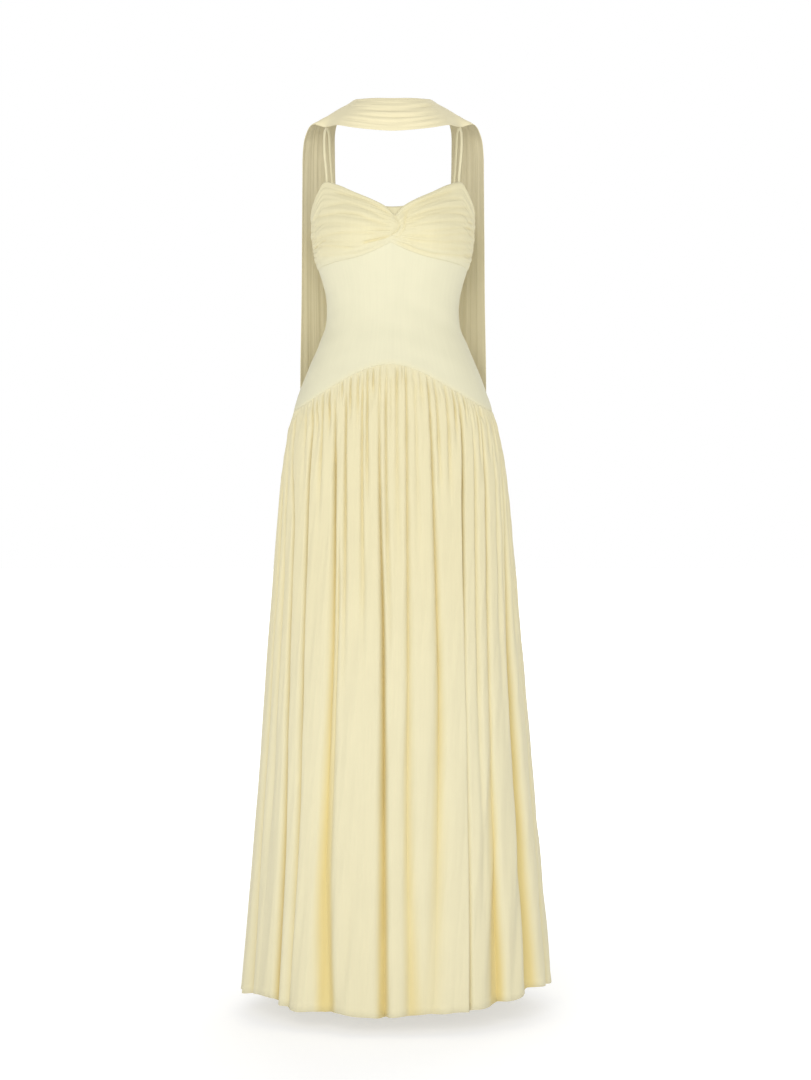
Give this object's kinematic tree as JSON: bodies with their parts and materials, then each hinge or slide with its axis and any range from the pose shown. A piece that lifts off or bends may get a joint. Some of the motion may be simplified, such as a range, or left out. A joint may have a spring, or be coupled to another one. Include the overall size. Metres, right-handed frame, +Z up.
{
  "type": "maxi gown with spaghetti straps and a halter-look neck scarf",
  "caption": "Full-length pale yellow gown: twisted sweetheart bust, thin straps, dropped arched waist seam, gathered skirt, and a scarf crossing the neck with tails behind the shoulders.",
  "frame": {"origin": "midway between the tops of the two shoulder straps, where the wearer's shoulders carry the gown", "axes": "+Z up, the front of the gown faces -Y, +X towards the wearer's left"},
  "size_m": [0.5391, 0.4902, 1.5454],
  "materials": {
    "bodice": "smooth stretch jersey, matt with a faint sheen",
    "drape": "the same jersey, gathered",
    "skirt": "the same jersey, gathered and hanging",
    "strap": "the same jersey, sewn into a narrow roll",
    "scarf": "the same jersey, one layer, softly gathered"
  },
  "bodies": {
    "root": {"bodice_front": "bodice", "bodice_back": "bodice", "bust_drape_right": "drape", "bust_drape_left": "drape", "skirt_front": "skirt", "skirt_back": "skirt", "strap_right": "strap", "strap_left": "strap", "scarf": "scarf"}
  },
  "joints": []
}
